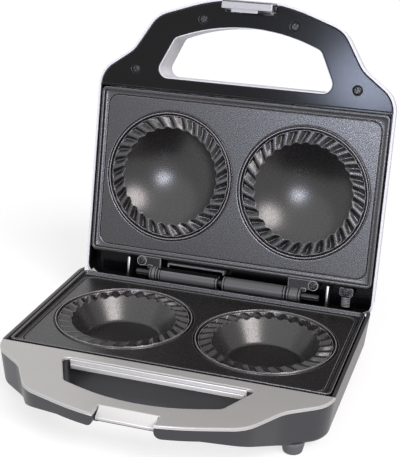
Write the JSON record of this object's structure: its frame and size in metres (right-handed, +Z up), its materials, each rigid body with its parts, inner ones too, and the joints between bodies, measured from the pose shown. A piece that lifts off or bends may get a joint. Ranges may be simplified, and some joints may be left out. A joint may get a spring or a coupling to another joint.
{
  "type": "electric pie maker",
  "caption": "Countertop pie maker with fluted pie wells, a domed lid on a rear hinge, finger-opening handles and a front latch, shown open.",
  "frame": {"origin": "on the table, under the middle of the whole object's box with the lid resting open", "axes": "+Z up, +Y from the handle to the hinge, +X to the right of a person at the handle"},
  "size_m": [0.248, 0.2998, 0.2653],
  "materials": {
    "graphite_plastic": "fine matt moulded",
    "silver_plastic": "satin silver paint",
    "light_silver_plastic": "satin silver paint",
    "black_plastic": "polished",
    "dark_plastic": "matt moulded",
    "non_stick_aluminium": "non-stick coating",
    "steel": "zinc plated",
    "dark_steel": "blackened",
    "heater_steel": "heat-tinted sheath",
    "phenolic": "moulded",
    "silicone": "sleeved lead",
    "rubber": "matt",
    "lamp_glass": "clear",
    "red_lens": "clear tinted"
  },
  "bodies": {
    "base": {"base_shell": "graphite_plastic", "deck_panel": "silver_plastic", "deck_screws": "dark_steel", "catch_plate": "light_silver_plastic", "lower_plate": "non_stick_aluminium", "lower_heater": "heater_steel", "lower_heater_clamps": "steel", "lower_clamp_screws": "steel", "lower_reflector": "steel", "lower_reflector_screws": "steel", "lower_plate_screws": "steel", "feet": "rubber", "foot_screws": "steel", "hinge_barrels": "dark_plastic", "barrel_screws": "dark_steel", "hinge_pin": "steel", "thermostat": "phenolic", "terminal_block": "phenolic", "base_leads": "silicone", "cord_gland": "rubber"},
    "lid": {"lid_shell": "silver_plastic", "handle_shell": "silver_plastic", "handle_panel": "black_plastic", "handle_screws": "dark_steel", "lid_liner": "dark_plastic", "upper_plate": "non_stick_aluminium", "upper_heater": "heater_steel", "upper_heater_clamps": "steel", "upper_clamp_screws": "steel", "upper_reflector": "steel", "upper_reflector_screws": "steel", "upper_plate_screws": "steel", "thermal_fuse": "steel", "fuse_clip": "steel", "hinge_brackets": "dark_plastic", "hinge_screws": "dark_steel", "stop_arms": "steel", "lead_cover": "dark_steel", "conduit_clamp": "steel", "conduit_screw": "dark_steel", "lead_sleeve": "dark_steel", "indicator_lamps": "lamp_glass", "indicator_lenses": "red_lens", "latch_pin": "steel", "latch_spring": "steel"},
    "latch": {"latch": "light_silver_plastic"}
  },
  "joints": [
    {"name": "lid_hinge", "type": "hinge", "parent": "base", "child": "lid", "pos_m": [0, 0.0805, 0.038], "axis": [1, 0, 0], "range_deg": [0, 101.4]},
    {"name": "latch_pivot", "type": "hinge", "parent": "lid", "child": "latch", "pos_m": [0, 0.13621, 0.25354], "axis": [-1, 0, 0], "range_deg": [0, 22], "stiffness_Nm_per_rad": 0.08}
  ]
}
